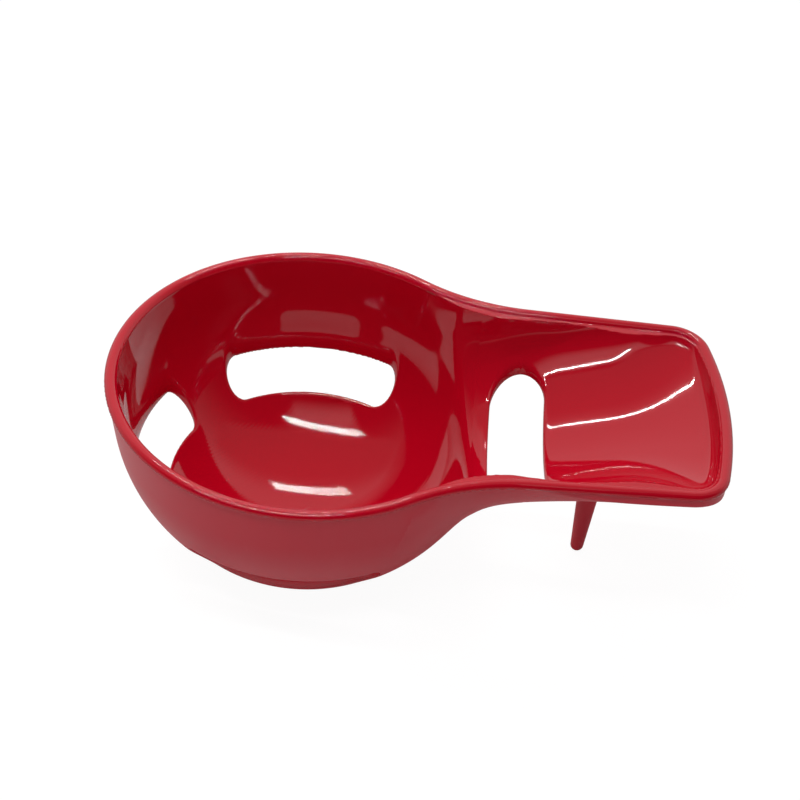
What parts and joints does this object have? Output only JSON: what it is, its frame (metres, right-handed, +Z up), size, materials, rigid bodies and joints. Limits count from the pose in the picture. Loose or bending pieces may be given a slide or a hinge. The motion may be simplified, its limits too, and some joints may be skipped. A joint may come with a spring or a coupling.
{
  "type": "egg separator",
  "caption": "Glossy red plastic egg separator: a round slotted bowl with a yolk cup, a wide trough handle with a drain slot, and a leg under the handle.",
  "frame": {"origin": "the foot of the bowl, on the table under the bowl's centre", "axes": "+X along the handle away from the bowl, +Z up, +Y completes a right-handed frame"},
  "size_m": [0.1233, 0.08, 0.0433],
  "materials": {
    "rim_plastic": "moulded opaque red, polished",
    "bowl_plastic": "moulded opaque red, polished inside, satin outside",
    "handle_plastic": "moulded opaque red, polished inside, satin outside",
    "leg_plastic": "moulded opaque red, satin"
  },
  "bodies": {
    "root": {"bowl_rim": "rim_plastic", "bowl_wall": "bowl_plastic", "slotted_ring": "bowl_plastic", "yolk_cup": "bowl_plastic", "handle_rim": "rim_plastic", "handle_trough": "handle_plastic", "rest_leg": "leg_plastic"}
  },
  "joints": []
}
